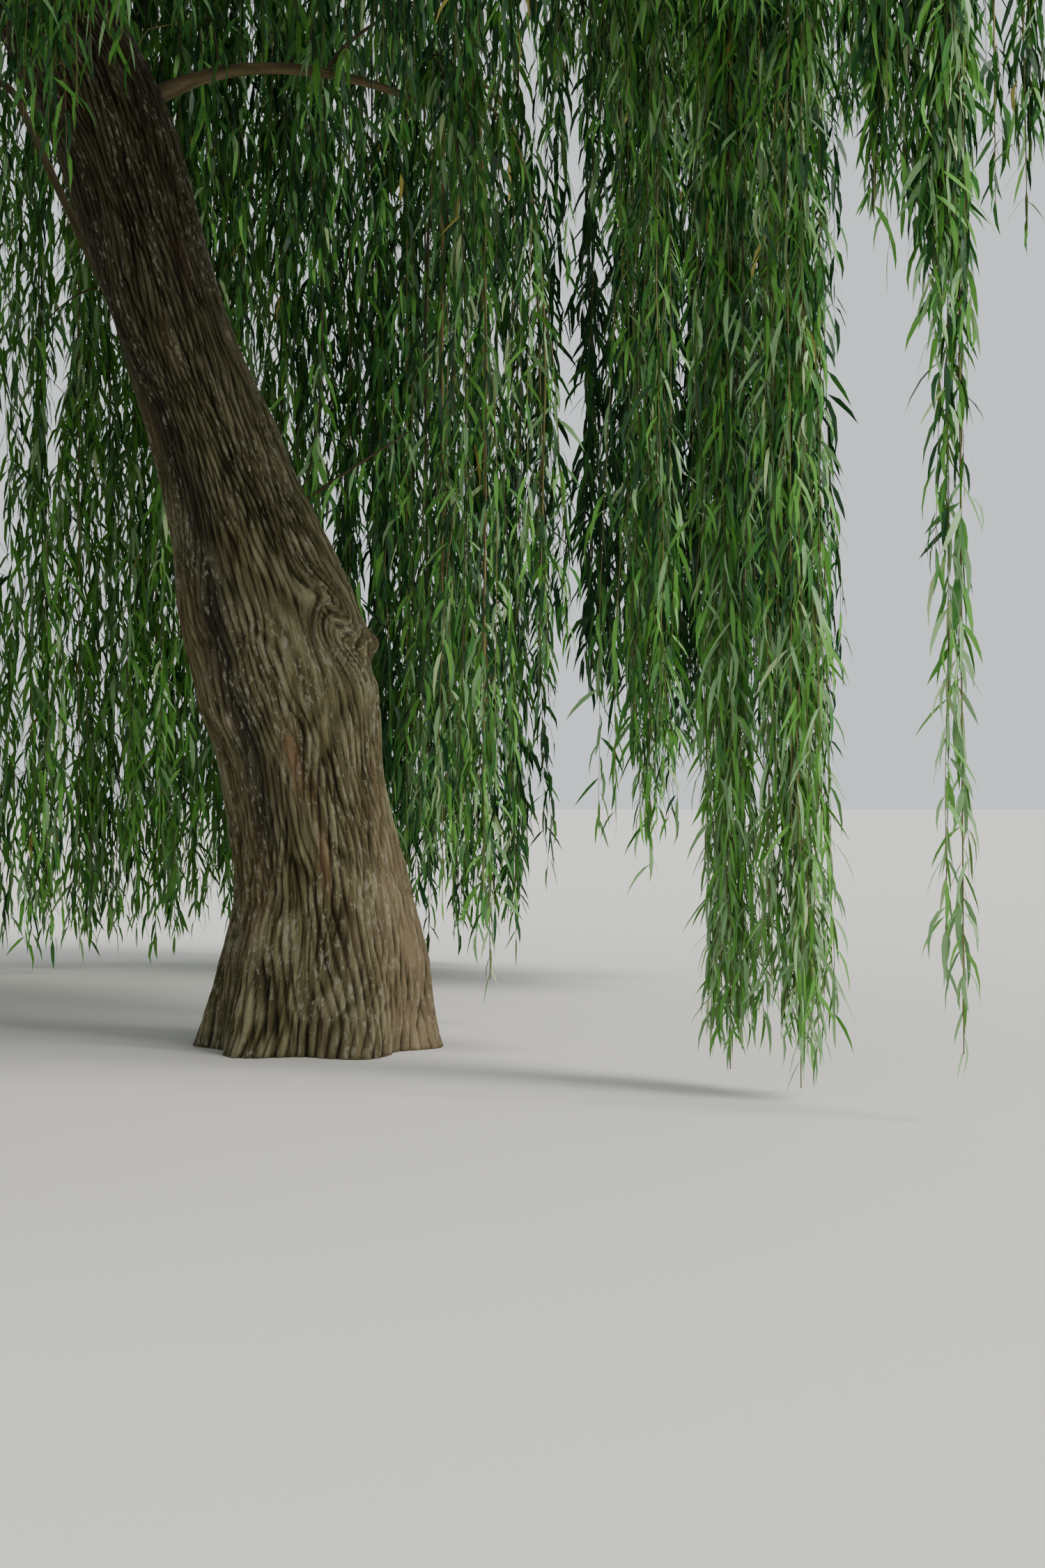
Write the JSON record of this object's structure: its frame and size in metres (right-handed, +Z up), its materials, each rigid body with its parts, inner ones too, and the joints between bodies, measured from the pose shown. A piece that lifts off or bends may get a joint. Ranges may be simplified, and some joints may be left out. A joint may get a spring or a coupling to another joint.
{
  "type": "weeping willow tree",
  "caption": "Weeping willow with a leaning flared trunk, a fork of arching boughs and masses of hanging foliage round a space that is open at the front.",
  "frame": {"origin": "middle of the flat cut under the trunk, at ground level", "axes": "+Z up; the trunk leans towards -X; the hanging foliage is open on the -Y side, which is the side that the picture shows"},
  "size_m": [6.7871, 6.5992, 7.2008],
  "materials": {
    "bark": "rough furrowed bark",
    "young_bark": "smoother bark",
    "foliage": "satin leaves"
  },
  "bodies": {
    "root": {"trunk": "bark", "bough_back_curtain": "young_bark", "bough_back_right": "young_bark", "bough_crown_1": "young_bark", "bough_crown_2": "young_bark", "bough_crown_3": "young_bark", "bough_crown_4": "young_bark", "bough_crown_top": "young_bark", "bough_edge_strand": "young_bark", "bough_front_canopy": "young_bark", "bough_front_edge": "young_bark", "bough_front_right": "young_bark", "bough_low_left": "young_bark", "bough_low_right": "young_bark", "bough_middle_1": "young_bark", "bough_middle_2": "young_bark", "bough_middle_3": "young_bark", "bough_middle_4": "young_bark", "bough_middle_curtain": "young_bark", "bough_near_curtain": "young_bark", "bough_near_strands": "young_bark", "bough_outer_1": "young_bark", "bough_outer_2": "young_bark", "bough_outer_3": "young_bark", "bough_outer_4": "young_bark", "bough_outer_5": "young_bark", "bough_outer_6": "young_bark", "bough_outer_7": "young_bark", "bough_right_edge": "young_bark", "foliage_back_curtain": "foliage", "foliage_back_right": "foliage", "foliage_crown_1": "foliage", "foliage_crown_2": "foliage", "foliage_crown_3": "foliage", "foliage_crown_4": "foliage", "foliage_crown_top": "foliage", "foliage_edge_strand": "foliage", "foliage_front_canopy": "foliage", "foliage_front_edge": "foliage", "foliage_front_right": "foliage", "foliage_low_left": "foliage", "foliage_low_right": "foliage", "foliage_middle_1": "foliage", "foliage_middle_2": "foliage", "foliage_middle_3": "foliage", "foliage_middle_4": "foliage", "foliage_middle_curtain": "foliage", "foliage_near_curtain": "foliage", "foliage_near_strands": "foliage", "foliage_outer_1": "foliage", "foliage_outer_2": "foliage", "foliage_outer_3": "foliage", "foliage_outer_4": "foliage", "foliage_outer_5": "foliage", "foliage_outer_6": "foliage", "foliage_outer_7": "foliage", "foliage_right_edge": "foliage"}
  },
  "joints": []
}
